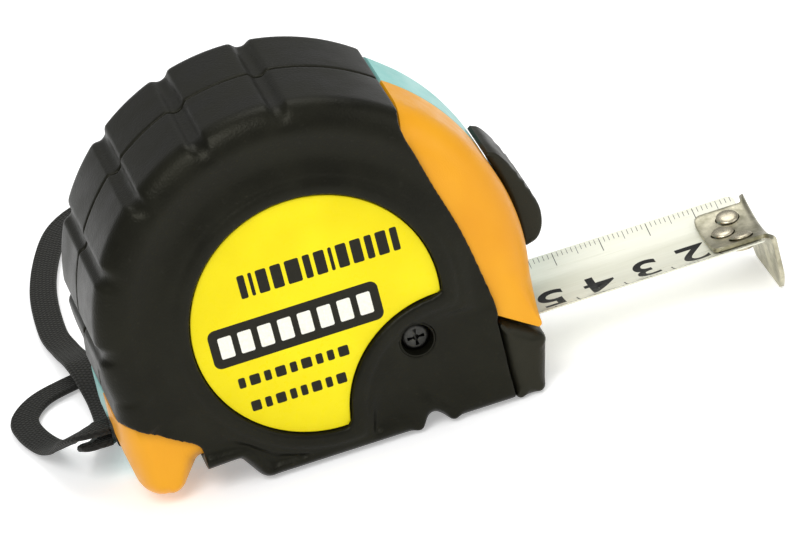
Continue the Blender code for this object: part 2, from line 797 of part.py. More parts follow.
def main():
    clear_scene()
    finishes = {
        "orange": material("orange_plastic", (0.90, 0.35, 0.02), 0.35),
        "teal": material("teal_plastic", (0.28, 0.60, 0.57), 0.35),
        "rubber": material("black_rubber", (0.02, 0.02, 0.017), 0.6),
        "black": material("black_plastic", (0.025, 0.023, 0.018), 0.4),
        "label": material("yellow_label", (0.90, 0.75, 0.02), 0.3),
        "steel": material("bright_steel", (0.6, 0.58, 0.5), 0.3, 1.0),
        "spring": material("spring_steel", (0.3, 0.3, 0.32), 0.35, 1.0),
        "blade": material("coated_blade", (0.78, 0.79, 0.66), 0.3),
        "white": material("white_plastic", (0.8, 0.8, 0.78), 0.4),
        "strap": material("black_webbing", (0.02, 0.02, 0.017), 0.9),
    }
    root = empty("tape_measure", -ORIGIN)
    spool_axis = empty("spool_axis", (SPOOL[0], 0, SPOOL[1]), root)
    blade_way = empty("blade_way", (HOOK_FACE, 0, BLADE_LOW), root)
    hook_way = empty("hook_way", (HOOK_FACE, 0, BLADE_LOW), root)
    lock_axis = empty("lock_axis", (FRONT_CENTRE[0], 0, FRONT_CENTRE[1]), root)
    clip_axis = empty("clip_axis", (0, CLIP_BASE + 0.5, CLIP_BEND + 0.15), root)

    for word, side, colour in (("right", -1, "orange"), ("left", 1, "teal")):
        case_shell(f"case_{word}", side, finishes[colour], root)
        grip(f"grip_{word}", side, finishes["rubber"], root)
        label(f"label_{word}", side, finishes["label"], root)
    nose_block(finishes["black"], root)
    screw("case_screw_front", FRONT_SCREW, -1, 17.3, 26.0, finishes["steel"], root)
    for word, at in FAR_SCREWS.items():
        screw(f"case_screw_{word}", at, 1, 17.3, 26.0, finishes["steel"], root)
    spool(spool_axis, root, finishes)
    blade(blade_way, finishes)
    end_hook(hook_way, finishes["steel"])
    blade_guide(finishes["white"], root)
    lock(lock_axis, finishes)
    belt_clip(clip_axis, root, finishes)
    strap_pin(finishes, root)
    wrist_strap(finishes["strap"], root)


main()
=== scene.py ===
"""The tape measure's looks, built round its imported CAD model.

Shapes are drawn in millimetres in the design frame: its origin is the centre of the case's round rim in the
middle plane, +X runs out of the mouth along the blade, +Z is up and +Y points to the far, teal half.
"""

import json
from math import acos, asin, atan2, ceil, cos, degrees, hypot, pi, radians, sin, sqrt

import bmesh
import bpy
from mathutils import Matrix, Vector


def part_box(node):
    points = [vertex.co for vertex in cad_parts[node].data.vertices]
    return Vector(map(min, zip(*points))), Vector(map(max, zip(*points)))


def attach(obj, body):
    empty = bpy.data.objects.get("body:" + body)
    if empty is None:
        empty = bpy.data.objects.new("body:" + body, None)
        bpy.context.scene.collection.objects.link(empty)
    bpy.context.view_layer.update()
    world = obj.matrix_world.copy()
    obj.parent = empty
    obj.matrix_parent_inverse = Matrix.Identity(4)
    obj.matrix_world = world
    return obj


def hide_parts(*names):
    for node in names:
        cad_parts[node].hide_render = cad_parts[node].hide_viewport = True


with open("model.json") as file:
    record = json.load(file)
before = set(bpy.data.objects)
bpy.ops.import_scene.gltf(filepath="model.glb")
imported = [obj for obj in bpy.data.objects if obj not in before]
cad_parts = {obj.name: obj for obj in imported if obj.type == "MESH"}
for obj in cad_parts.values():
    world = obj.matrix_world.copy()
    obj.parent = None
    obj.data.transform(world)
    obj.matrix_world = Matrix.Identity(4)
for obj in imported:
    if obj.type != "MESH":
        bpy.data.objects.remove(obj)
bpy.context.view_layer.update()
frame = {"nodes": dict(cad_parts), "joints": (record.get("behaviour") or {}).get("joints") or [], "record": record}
MM = 0.001


def middle(node):
    low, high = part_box(node)
    return (Vector(low) + Vector(high)) / 2


def extent(node):
    low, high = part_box(node)
    return (Vector(high) - Vector(low)) / MM


# The frame gives where the design frame stands, and the main sizes.
LABEL_CENTRE = (0.7, -1.7)
LABEL_RADIUS = extent("label_right").z / 2
LABEL_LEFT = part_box("label_right")[0][0]
CENTRE = Vector((
    LABEL_LEFT + (LABEL_RADIUS - LABEL_CENTRE[0]) * MM,
    middle("blade").y,
    middle("label_right").z - LABEL_CENTRE[1] * MM,
))


def local(point):
    """A world point in the design frame, in millimetres."""
    return (Vector(point) - CENTRE) / MM


def box_ends(node):
    """The low and high corners of a node's box in the design frame."""
    return [local(p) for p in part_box(node)]


def site(node):
    """A node's middle, seen from the side."""
    return tuple(local(middle(node)).xz)


grip_low, grip_high = box_ends("grip_right")
case_low, case_high = box_ends("case_right")
blade_low, blade_high = box_ends("blade")
hook_low, hook_high = box_ends("end_hook")
BASE, RIM_RADIUS, LIP_FACE = grip_low.z, grip_high.z, -grip_low.y
GRIP_FACE = LIP_FACE - 0.8
LABEL_FACE = -box_ends("label_right")[0].y
SHELL_FACE = -case_low.y
FRONT_CENTRE = tuple(local(next(j for j in frame["joints"] if j["name"] == "lock_slide")["pos_m"]).xz)
FRONT_RADIUS = case_high.x - FRONT_CENTRE[0]
FRONT_SCREW, CLIP_SCREW, STRAP_PIN = site("case_screw_front"), site("clip_screw"), site("strap_pin")
FAR_SCREWS = [site(f"case_screw_{word}") for word in ("top", "rear", "heel")]
BLADE_WIDTH = extent("blade").y
BLADE_LOW, BLADE_START, BLADE_END = blade_low.z, blade_low.x, blade_high.x
HOOK_START, HOOK_FOOT, HOOK_OUTER = hook_low.x, hook_low.z, hook_high.x
HOOK_FACE = HOOK_OUTER - 1.0
CLIP_HOLE = 1.8
RIVETS = [local(middle(f"hook_rivet_{i}")) for i in (1, 2, 3)]

BLADE_THICKNESS = 0.3
BLADE_RISE = 3.0  # how far the blade's edges stand above its middle
GAP = 0.3  # between pieces that touch
SEAM = 0.15  # half the joint between the two shells
WALL = 2.0
SHELL_ROUNDING = 8.0  # how much of a shell's width its rounded shoulder takes up
GRIP_ROUNDING = 5.0
CORE_RADIUS = RIM_RADIUS - 2.3  # rim of the shell under the rubber
PAD_HEIGHT = 1.2
GRIP_END, GRIP_START = 50.2, 191.3  # degrees round the rim where the shell lies under rubber
RIM_START = 10.0  # the rubber's own outline runs on past its front edge, where it is cut off
GROOVES = (84.5, 108.0, 131.0, 154.0, 177.0)  # degrees round the rim, between the rubber's pads
BITE = (24.8 - LABEL_CENTRE[0], -28.2 - LABEL_CENTRE[1], 23.0)  # the label's bite: centre from its own, radius
LIP_WIDTH = 2.9
DISH = 1.0  # how far the face of the rubber sinks between its shoulder and the lip
SCREW_RECESS = 3.6
INK = 0.03
LOCK_TRAVEL = (-2, 20)  # degrees round the front's centre, like the shank
SHANK_SPAN = (0, 8)
OPEN = 1e3  # the limit of a point that no rounded corner holds back


# Meshes


def linked(name, data):
    made = bpy.data.objects.new(name, data)
    bpy.context.collection.objects.link(made)
    return made


def finished(name, bm, finish, angle=None):
    """A piece from a mesh drawn in the design frame, with its vertices in the world's metres."""
    bmesh.ops.transform(bm, matrix=Matrix.Translation(CENTRE) @ Matrix.Scale(MM, 4), verts=bm.verts)
    bmesh.ops.recalc_face_normals(bm, faces=bm.faces)
    mesh = bpy.data.meshes.new(name)
    bm.to_mesh(mesh)
    bm.free()
    made = linked(name, mesh)
    if finish:
        mesh.materials.append(MATERIALS[finish])
    mesh.shade_smooth()
    if angle:
        mesh.set_sharp_from_angle(angle=radians(angle))
    return made


def combine(target, bm, operation="DIFFERENCE"):
    """Cuts the target with a shape, or joins the shape to it."""
    tool = finished("tool", bm, None)
    step = target.modifiers.new("combine", "BOOLEAN")
    step.operation = operation
    step.solver = "EXACT"
    step.object = tool
    settle(target)
    bpy.data.objects.remove(tool, do_unlink=True)


def baked(source):
    graph = bpy.context.evaluated_depsgraph_get()
    graph.update()
    return bpy.data.meshes.new_from_object(source.evaluated_get(graph), depsgraph=graph)


def settle(target):
    """Applies the target's modifiers to its mesh."""
    old = target.data
    mesh = baked(target)
    target.modifiers.clear()
    target.data = mesh
    bpy.data.meshes.remove(old)
    mesh.name = target.name


def soften(target, size, passes):
    """Rounds every edge a little, as rubber leaves its mould."""
    step = target.modifiers.new("remesh", "REMESH")
    step.mode = "VOXEL"
    step.voxel_size = size * MM
    step.use_smooth_shade = True
    step = target.modifiers.new("relax", "SMOOTH")
    step.factor = 0.5
    step.iterations = passes
    settle(target)
    target.data.shade_smooth()


def bevelled(target, width, angle=40):
    step = target.modifiers.new("bevel", "BEVEL")
    step.width = width * MM
    step.segments = 2
    step.limit_method = "ANGLE"
    step.angle_limit = radians(angle)
    settle(target)
    creased(target, angle)


def creased(target, angle):
    """Smooth shading, with every edge sharper than an angle kept crisp."""
    target.data.shade_smooth()
    target.data.set_sharp_from_angle(angle=radians(angle))


def stands_for(piece, body, slot, *nodes):
    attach(piece, body)
    if nodes:
        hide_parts(*nodes)
    return piece


# Outlines are lists of (x, z, limit), anticlockwise seen from the near side. The limit is how far the outline
# can be inset at that point before a rounded corner closes up.


def arc(centre, radius, start, end, step=2.0, limit=OPEN):
    count = max(1, ceil(abs(end - start) / step))
    turns = [radians(start + (end - start) * i / count) for i in range(count + 1)]
    return [(centre[0] + radius * cos(t), centre[1] + radius * sin(t), limit) for t in turns]


def corner(before, at, after, radius, step=8.0):
    a = (Vector(before) - Vector(at)).normalized()
    b = (Vector(after) - Vector(at)).normalized()
    half = acos(max(-1.0, min(1.0, a.dot(b)))) / 2
    centre = Vector(at) + (a + b).normalized() * (radius / sin(half))
    start = Vector(at) + a * (radius / sin(half)) * cos(half) - centre
    end = Vector(at) + b * (radius / sin(half)) * cos(half) - centre
    first = degrees(atan2(start.y, start.x))
    sweep = (degrees(atan2(end.y, end.x)) - first + 180) % 360 - 180
    limit = radius if sweep > 0 else OPEN
    return arc(centre, radius, first, first + sweep, step, limit)


def outline(*pieces):
    """Joins rounded corners (x, z, radius) and ready lists of points into one outline."""
    spine = []
    for piece in pieces:
        spine += [(piece, None)] if isinstance(piece, tuple) else [(point, point) for point in piece]
    points = []
    for i, (piece, ready) in enumerate(spine):
        if ready:
            points.append(ready)
        elif piece[2] == 0:
            points.append((piece[0], piece[1], OPEN))
        else:
            before = spine[i - 1][0][:2]
            after = spine[(i + 1) % len(spine)][0][:2]
            points += corner(before, piece[:2], after, piece[2])
    return points


def evened(points, step):
    """The outline with points added along its straight runs."""
    made = []
    for (x, z, limit), (a, b, _) in zip(points, points[1:] + points[:1]):
        count = max(1, round(hypot(a - x, b - z) / step))
        made.append((x, z, limit))
        made += [(x + (a - x) * i / count, z + (b - z) * i / count, OPEN) for i in range(1, count)]
    return made


def inset(points, depth):
    """The outline moved inwards by one small, even depth."""
    moved = []
    for i, (x, z, limit) in enumerate(points):
        before = Vector((x, z)) - Vector(points[i - 1][:2])
        after = Vector(points[(i + 1) % len(points)][:2]) - Vector((x, z))
        along = (before.normalized() + after.normalized()).normalized()
        reach = min(depth, 0.8 * limit) / max(along.dot(before.normalized()), 0.5)
        moved.append((x - along.y * reach, z + along.x * reach, max(limit - depth, 0.1)))
    return moved


def trend(points, i, reach=4.0):
    """The outline's direction near a point, over a reach to each side, so small steps don't count."""
    ends = []
    for way in (1, -1):
        at, k, left = Vector(points[i][:2]), i, reach
        while left > 0:
            k += way
            onward = Vector(points[k % len(points)][:2]) - at
            at = at + onward * min(1.0, left / max(onward.length, 1e-6))
            left -= onward.length
        ends.append(at)
    return (ends[0] - ends[1]).normalized()


def reliefs(points, depths):
    """For each point, the way in and how far it may go: less wherever a tight corner is near."""
    tight = [(a, b, c) for a, b, c in points if c < 100]
    ways = []
    for i, (x, z, _) in enumerate(points):
        depth = min([depths[i]] + [0.8 * c + hypot(x - a, z - b) for a, b, c in tight])
        along = trend(points, i)
        ways.append((-along.y * depth, along.x * depth))
    return ways


def shifted(points, ways, share):
    return [(x + a * share, z + b * share, limit) for (x, z, limit), (a, b) in zip(points, ways)]


def loft(rings, closed=False):
    """A mesh through equally long rings, with flat ends unless the rings close on themselves."""
    bm = bmesh.new()
    made = [[bm.verts.new(p) for p in ring] for ring in rings]
    pairs = list(zip(made, made[1:] + made[:1] if closed else made[1:]))
    for low, high in pairs:
        for i in range(len(low)):
            j = (i + 1) % len(low)
            bm.faces.new((low[i], low[j], high[j], high[i]))
    if not closed:
        bm.faces.new(made[0])
        bm.faces.new(made[-1])
    return bm


def at_y(points, y):
    return [(p[0], y, p[1]) for p in points]


def prism(points, low, high):
    return loft([at_y(points, low), at_y(points, high)])


def box(low, high):
    corners = [(low[0], low[2]), (high[0], low[2]), (high[0], high[2]), (low[0], high[2])]
    return prism(corners, low[1], high[1])


def merged(meshes):
    whole = bmesh.new()
    for part in meshes:
        spare = bpy.data.meshes.new("spare")
        part.to_mesh(spare)
        part.free()
        whole.from_mesh(spare)
        bpy.data.meshes.remove(spare)
    return whole


def turned(centre, profile, sides=48, phase=0.0, closed=False):
    """A round shape about Y, from (radius, y) pairs. A radius may be a function of the angle."""
    rings = []
    for radius, y in profile:
        ring = []
        for i in range(sides):
            turn = 2 * pi * i / sides + phase
            reach = radius(turn) if callable(radius) else radius
            ring.append((centre[0] + reach * cos(turn), y, centre[1] + reach * sin(turn)))
        rings.append(ring)
    return loft(rings, closed)


def mirror(rings, side):
    return [[(x, side * y, z) for x, y, z in ring] for ring in rings]


def both_sides(rings):
    """Rings on one side of the middle plane, led up to by their mirror images."""
    return mirror(reversed(rings), -1) + rings


def quarter(steps):
    """(share of the depth, share of the height) round a quarter turn, from the wall to the face."""
    return [(1 - cos(pi / 2 * i / steps), sin(pi / 2 * i / steps)) for i in range(steps + 1)]


# Materials


class Nodes:
    """A material with one Principled shader, and short ways to add the nodes that vary it."""

    def __init__(self, name, colour, roughness, metallic=0.0, **sockets):
        self.made = bpy.data.materials.new(name)
        self.made.use_nodes = True
        self.tree = self.made.node_tree
        self.shader = self.tree.nodes["Principled BSDF"]
        self.set("Base Color", (*colour, 1.0))
        self.set("Roughness", roughness)
        self.set("Metallic", metallic)
        for socket, value in sockets.items():
            self.set(socket.replace("_", " ").title().replace("Ior", "IOR"), value)
        self.places = {}

    def set(self, socket, value):
        self.shader.inputs[socket].default_value = value

    def node(self, kind, **settings):
        made = self.tree.nodes.new(kind)
        for key, value in settings.items():
            setattr(made, key, value)
        return made

    def link(self, output, target):
        self.tree.links.new(output, target)

    def feed(self, value, socket):
        """Gives an input a fixed value, or links an output to it."""
        if isinstance(value, bpy.types.NodeSocket):
            self.link(value, socket)
        else:
            socket.default_value = value

    def place(self, kind="Object", scale=(1 / MM,) * 3):
        """Where a point of the surface is, in millimetres, or its UV place scaled by two numbers."""
        if (kind, scale) not in self.places:
            source = self.node("ShaderNodeTexCoord")
            mapping = self.node("ShaderNodeMapping")
            mapping.inputs["Scale"].default_value = scale
            self.link(source.outputs[kind], mapping.inputs["Vector"])
            self.places[kind, scale] = mapping.outputs["Vector"]
        return self.places[kind, scale]

    def noise(self, size, detail=2.0, rough=0.5, scale=(1 / MM,) * 3):
        """Noise whose features are about size millimetres across."""
        made = self.node("ShaderNodeTexNoise")
        made.inputs["Scale"].default_value = 1 / size
        made.inputs["Detail"].default_value = detail
        made.inputs["Roughness"].default_value = rough
        self.link(self.place("Object", scale), made.inputs["Vector"])
        return made.outputs["Fac"]

    def spread(self, value, low, high, start=0.35, end=0.65):
        """A value mapped from start..end to low..high."""
        made = self.node("ShaderNodeMapRange")
        for socket, number in zip(("From Min", "From Max", "To Min", "To Max"), (start, end, low, high)):
            made.inputs[socket].default_value = number
        self.link(value, made.inputs["Value"])
        return made.outputs["Result"]

    def blended(self, factor, first, second):
        """A colour between two, given as colours or as an output."""
        made = self.node("ShaderNodeMix", data_type="RGBA")
        self.link(factor, made.inputs["Factor"])
        for colour, socket in ((first, made.inputs[6]), (second, made.inputs[7])):
            self.feed((*colour, 1.0) if isinstance(colour, tuple) else colour, socket)
        return made.outputs[2]

    def maths(self, operation, first, second=0.0):
        made = self.node("ShaderNodeMath", operation=operation)
        self.feed(first, made.inputs[0])
        self.feed(second, made.inputs[1])
        return made.outputs[0]

    def bump(self, height, depth):
        """Adds relief of a depth in millimetres."""
        made = self.node("ShaderNodeBump")
        made.inputs["Strength"].default_value = 1.0
        made.inputs["Distance"].default_value = depth * MM
        self.link(height, made.inputs["Height"])
        self.link(made.outputs["Normal"], self.shader.inputs["Normal"])

    def colour(self, output):
        self.link(output, self.shader.inputs["Base Color"])

    def tint(self, value, dark, light):
        self.colour(self.blended(self.spread(value, 0.0, 1.0), dark, light))

    def roughness(self, value, low, high):
        self.link(self.spread(value, low, high), self.shader.inputs["Roughness"])


def rubber():
    """Matt black rubber with a fine moulded grain, a little dust and rubbed patches."""
    made = Nodes("black_rubber", (0.011, 0.0105, 0.008), 0.42, specular_ior_level=0.16)
    made.set("Specular Tint", (1.0, 0.98, 0.8, 1.0))
    patches = made.noise(9.0, 3.0)
    specks = made.noise(1.1, 4.0, 0.6)
    tone = made.blended(made.spread(patches, 0.0, 1.0), (0.0045, 0.0045, 0.003), (0.008, 0.008, 0.005))
    made.colour(made.blended(made.spread(specks, 0.0, 0.4, 0.62, 0.8), tone, (0.03, 0.028, 0.023)))
    made.roughness(patches, 0.34, 0.44)
    made.bump(made.noise(0.45), 0.07)
    return made.made


def plastic(name, dark, light, rough=0.36):
    """Moulded plastic with a satin spark-eroded grain and faint flow marks."""
    made = Nodes(name, light, rough, specular_ior_level=0.28)
    flow = made.noise(14.0, 2.0, 0.5, (1 / MM, 0.35 / MM, 0.5 / MM))
    made.tint(flow, dark, light)
    made.roughness(made.noise(3.0, 3.0), rough - 0.05, rough + 0.08)
    made.bump(made.noise(0.3), 0.03)
    return made.made


def black_plastic():
    made = Nodes("black_plastic", (0.014, 0.013, 0.009), 0.42, specular_ior_level=0.25)
    made.set("Specular Tint", (1.0, 0.97, 0.75, 1.0))
    patches = made.noise(6.0, 3.0)
    made.tint(patches, (0.008, 0.0078, 0.005), (0.013, 0.0125, 0.0085))
    made.roughness(patches, 0.36, 0.5)
    made.bump(made.noise(0.35), 0.05)
    return made.made


def label_film():
    """Glossy yellow film, with the slight ripple of a stuck-on sheet."""
    coat = {"coat_weight": 0.06, "coat_roughness": 0.2}
    made = Nodes("yellow_film", (0.89, 0.74, 0.006), 0.32, specular_ior_level=0.14, **coat)
    wide = made.noise(16.0)
    made.tint(wide, (0.80, 0.66, 0.002), (0.87, 0.74, 0.006))
    made.roughness(made.noise(1.2, 4.0), 0.24, 0.38)
    made.bump(made.noise(5.0, 1.0), 0.05)
    return made.made


def ink(name, colour, rough=0.35):
    made = Nodes(name, colour, rough, specular_ior_level=0.15)
    lighter = tuple(min(1.0, c * 1.4 + 0.004) for c in colour)
    made.colour(made.blended(made.spread(made.noise(0.7, 4.0, 0.7), 0.0, 0.5), colour, lighter))
    made.roughness(made.noise(0.9, 3.0), rough - 0.05, rough + 0.1)
    return made.made


def enamel():
    """The blade's cream enamel under clear coat, faintly streaked along the blade."""
    made = Nodes("cream_enamel", (0.79, 0.79, 0.65), 0.3, coat_weight=0.6, coat_roughness=0.1)
    streaks = made.noise(1.6, 4.0, 0.6, (0.06 / MM, 1 / MM, 1 / MM))
    made.tint(streaks, (0.75, 0.75, 0.61), (0.82, 0.82, 0.69))
    made.roughness(streaks, 0.26, 0.4)
    made.bump(streaks, 0.01)
    return made.made


def metal(name, dark, light, rough, lengths):
    """Plated steel, brushed along the direction whose length factor is small."""
    made = Nodes(name, light, rough, 1.0, anisotropic=0.4)
    strokes = made.noise(0.22, 5.0, 0.7, tuple(k / MM for k in lengths))
    wear = made.noise(3.5, 4.0, 0.6)
    made.tint(wear, dark, light)
    made.roughness(strokes, rough - 0.08, rough + 0.14)
    made.bump(strokes, 0.008)
    return made.made


def webbing():
    """Flat-woven nylon: ribs across the band, split by the warp threads, with a slight sheen."""
    sheen = {"sheen_weight": 0.12, "sheen_roughness": 0.5}
    made = Nodes("black_webbing", (0.01, 0.01, 0.008), 0.8, specular_ior_level=0.25, **sheen)
    made.set("Sheen Tint", (0.55, 0.55, 0.5, 1.0))
    parts = made.node("ShaderNodeSeparateXYZ")
    made.link(made.place("UV", (1.0, 1.0, 1.0)), parts.inputs[0])
    along, across = parts.outputs[0], parts.outputs[1]
    column = made.maths("FLOOR", made.maths("MULTIPLY", across, 1.25))
    shift = made.maths("MULTIPLY", made.maths("MODULO", column, 2.0), 0.5)
    weft = made.maths("PINGPONG", made.maths("ADD", made.maths("MULTIPLY", along, 0.9), shift), 0.5)
    warp = made.maths("PINGPONG", made.maths("MULTIPLY", across, 1.25), 0.5)
    weave = made.maths("MULTIPLY", made.maths("POWER", weft, 0.6), made.maths("POWER", warp, 0.5))
    fuzz = made.noise(0.3, 3.0, 0.6)
    height = made.maths("ADD", weave, made.maths("MULTIPLY", fuzz, 0.25))
    made.bump(height, 0.45)
    shade = made.spread(weave, 0.0, 1.0, 0.05, 0.45)
    made.colour(made.blended(shade, (0.004, 0.004, 0.0035), (0.017, 0.017, 0.014)))
    made.roughness(fuzz, 0.65, 0.85)
    return made.made


MATERIALS = {
    "rubber": rubber(),
    "orange": plastic("orange_plastic", (0.74, 0.305, 0.005), (0.81, 0.365, 0.009)),
    "teal": plastic("teal_plastic", (0.25, 0.56, 0.52), (0.30, 0.63, 0.59)),
    "black": black_plastic(),
    "label": label_film(),
    "dark_ink": ink("dark_ink", (0.012, 0.011, 0.006)),
    "pale_ink": ink("pale_ink", (0.80, 0.79, 0.68)),
    "blade": enamel(),
    "print": ink("scale_ink", (0.012, 0.012, 0.012), 0.4),
    "hook": metal("hook_steel", (0.29, 0.275, 0.195), (0.58, 0.55, 0.42), 0.36, (1.0, 0.08, 1.0)),
    "rivet": metal("rivet_steel", (0.44, 0.40, 0.29), (0.60, 0.55, 0.42), 0.3, (1.0, 1.0, 1.0)),
    "screw": metal("screw_steel", (0.03, 0.03, 0.028), (0.07, 0.07, 0.065), 0.42, (1.0, 1.0, 1.0)),
    "steel": metal("clip_steel", (0.46, 0.46, 0.44), (0.60, 0.60, 0.57), 0.28, (1.0, 1.0, 0.08)),
    "spring": metal("spring_steel", (0.16, 0.17, 0.20), (0.30, 0.31, 0.34), 0.35, (1.0, 0.08, 1.0)),
    "white": plastic("white_nylon", (0.72, 0.72, 0.67), (0.80, 0.80, 0.76), 0.42),
    "webbing": webbing(),
}


# Case


def shell_outline():
    """The outside of a shell: open at the front and the heel, set back where the rubber covers it."""
    return outline(
        (34.7, -31.2, 1.0),
        (34.7, -14.9, 0.6),
        (44.0, -21.3, 1.0),
        arc(FRONT_CENTRE, FRONT_RADIUS, -10, 54.2, 1.5),
        arc((0, 0), CORE_RADIUS, GRIP_END, GRIP_START, 3),
        [(-39.9, -12.9, OPEN), (-42.1, -13.7, OPEN)],
        (-42.3, -21.0, 12.0),
        (-40.4, -31.9, 5.0),
        (-33.2, -32.2, 4.0),
        (-28.2, -26.4, 2.0),
        (-19.6, -26.0, 0.8),
        (-15.3, -31.2, 1.0),
        (15.8, -31.2, 0.8),
        (18.2, -28.3, 1.2),
        (20.8, -31.2, 0.8),
    )


def roundness(x, z):
    """How far in from the outline a shell's face starts: most on the bare front, least under rubber."""
    if x > 34 and z < -14:
        return 0.9
    if x > 25 and z > -14:
        return 8.0
    if x < -18.5 and z < -8:
        return 5.5
    return 3.0


def eased(values, reach=6):
    """Each value averaged with its neighbours round the outline."""
    count, window = len(values), range(-reach, reach + 1)
    return [sum(values[(i + k) % count] for k in window) / len(window) for i in range(count)]


def shell_rings(points, grow=0.0):
    """The rounded outside of a shell with a softened seam, or grown by a gap to cut the rubber with."""
    outer = inset(points, -grow)
    ways = reliefs(outer, eased([roundness(x, z) for x, z, _ in points], 3))
    rings = [at_y(outer, -1.0)] if grow else [at_y(inset(outer, 0.2), SEAM), at_y(outer, SEAM + 0.2)]
    for share, rise in quarter(10):
        rings.append(at_y(shifted(outer, ways, share), SHELL_FACE - SHELL_ROUNDING * (1 - rise) + grow))
    return rings


def mouth_slot():
    half = BLADE_WIDTH / 2 + 0.9
    return box((30.0, -half, BLADE_LOW - 1.7), (50.0, half, BLADE_LOW + BLADE_RISE + 1.0))


def front_sector(span, inner, outer, half):
    """A block between two radii and two angles round the front's centre."""
    low, high = span
    edge = arc(FRONT_CENTRE, outer, low, high) + arc(FRONT_CENTRE, inner, high, low)
    return prism(edge, -half, half)


def screw_recesses(side, start):
    """The recesses of one side's screws, outwards from a distance off the middle plane."""
    places = [FRONT_SCREW] if side < 0 else FAR_SCREWS
    return [turned(at, [(SCREW_RECESS, side * start), (SCREW_RECESS, side * 30.0)]) for at in places]


def case_shell(word, side, finish):
    """One half of the case: a rounded cup with slots for the blade, the lock and the strap."""
    points = shell_outline()
    wall = inset(points, WALL)
    ways = reliefs(wall, [4.0] * len(wall))
    cavity = []
    for share, rise in reversed(quarter(4)):
        cavity.append(at_y(shifted(wall, ways, share), SHELL_FACE - 3.2 - 5.0 * (1 - rise)))
    cavity.append(at_y(wall, SEAM))
    shell = finished(f"shell_{word}", loft(mirror(cavity + shell_rings(points), side)), finish)
    lock_slot = front_sector(LOCK_TRAVEL, FRONT_RADIUS - 4, FRONT_RADIUS + 3, 3.3)
    strap_slot = box((-46.0, -4.2, STRAP_PIN[1] - 2.9), (-37.0, 4.2, STRAP_PIN[1] + 2.9))
    tools = [mouth_slot(), lock_slot, strap_slot]
    for tool in tools + screw_recesses(side, 16.8):
        combine(shell, tool)
    creased(shell, 35)
    return shell


def grip_region():
    """Where a grip covers its shell, seen from the side."""
    front = [
        (34.9, -15.4), (35.5, -12.5), (34.3, -4.0), (32.4, 6.0), (29.4, 16.5),
        (27.3, 24.5), (26.3, 28.0), (26.0, 31.4), (27.2, 33.6), (29.4, 35.6),
    ]
    return outline(
        (34.9, -40.0, 0),
        [(x, z, OPEN) for x, z in flowing(front, 5)],
        (32.0, 50.0, 0),
        (-50.0, 50.0, 0),
        (-50.0, -12.8, 0),
        (-41.2, -12.8, 1.0),
        (-27.6, -21.9, 3.0),
        (-27.6, -40.0, 0),
    )


def between(a, b, c, d, t):
    """A point of a smooth curve that passes through its own points."""
    square = (2 * a - 5 * b + 4 * c - d) * t * t
    cube = (3 * b - a - 3 * c + d) * t ** 3
    return 0.5 * (2 * b + (c - a) * t + square + cube)


def flowing(points, count):
    """A smooth curve through the points, with count steps from each to the next."""
    stops = [Vector(p) for p in points]
    stops = [stops[0] * 2 - stops[1], *stops, stops[-1] * 2 - stops[-2]]
    made = []
    for a, b, c, d in zip(stops, stops[1:], stops[2:], stops[3:]):
        made += [between(a, b, c, d, i / count) for i in range(count)]
    made.append(stops[-2])
    return [tuple(p) for p in made]


def rim_radius(turn, height):
    """The rim at an angle in degrees: pads of a height that stand up between rounded grooves."""
    nearest = min(abs(turn - groove) for groove in GROOVES)
    share = max(0.0, min(1.0, (nearest - 0.9) / 2.1))
    return RIM_RADIUS - PAD_HEIGHT + height * (share * share * (3 - 2 * share))


def grip_outline(height):
    steps = 260
    rim = []
    for i in range(steps + 1):
        turn = RIM_START + (GRIP_START - RIM_START) * i / steps
        radius = rim_radius(turn, height)
        rim.append((radius * cos(radians(turn)), radius * sin(radians(turn)), OPEN))
    return outline(
        (42.0, BASE, 0),
        rim,
        [(-42.2, -13.6, OPEN)],
        (-42.6, -19.5, 3.0),
        (-30.5, -28.2, 2.0),
        (-20.9, -27.7, 1.0),
        (-17.3, BASE, 3.0),
        (15.5, BASE, 1.5),
        (18.2, -30.3, 1.5),
        (21.5, BASE, 1.5),
    )


def label_reach(turn, grow):
    """How far the label, grown by a margin, reaches from its centre at an angle."""
    x, z, bite = BITE
    along = x * cos(turn) + z * sin(turn)
    aside = (bite - grow) ** 2 - (x * x + z * z - along * along)
    reach = LABEL_RADIUS + grow
    if aside > 0 and along > 0:
        reach = min(reach, along - sqrt(aside))
    return reach


def onward(turns):
    """The angles of an outline's points, unwound and never turning back."""
    made = [turns[0]]
    for turn in turns[1:]:
        while turn < made[-1] - pi:
            turn += 2 * pi
        made.append(max(turn, made[-1] + 1e-4))
    return made


def label_ring(turns, grow):
    """The label's outline, grown by a margin, as points at given angles round its centre."""
    ring = []
    for turn in turns:
        reach = label_reach(turn, grow)
        ring.append((LABEL_CENTRE[0] + reach * cos(turn), LABEL_CENTRE[1] + reach * sin(turn), OPEN))
    return ring


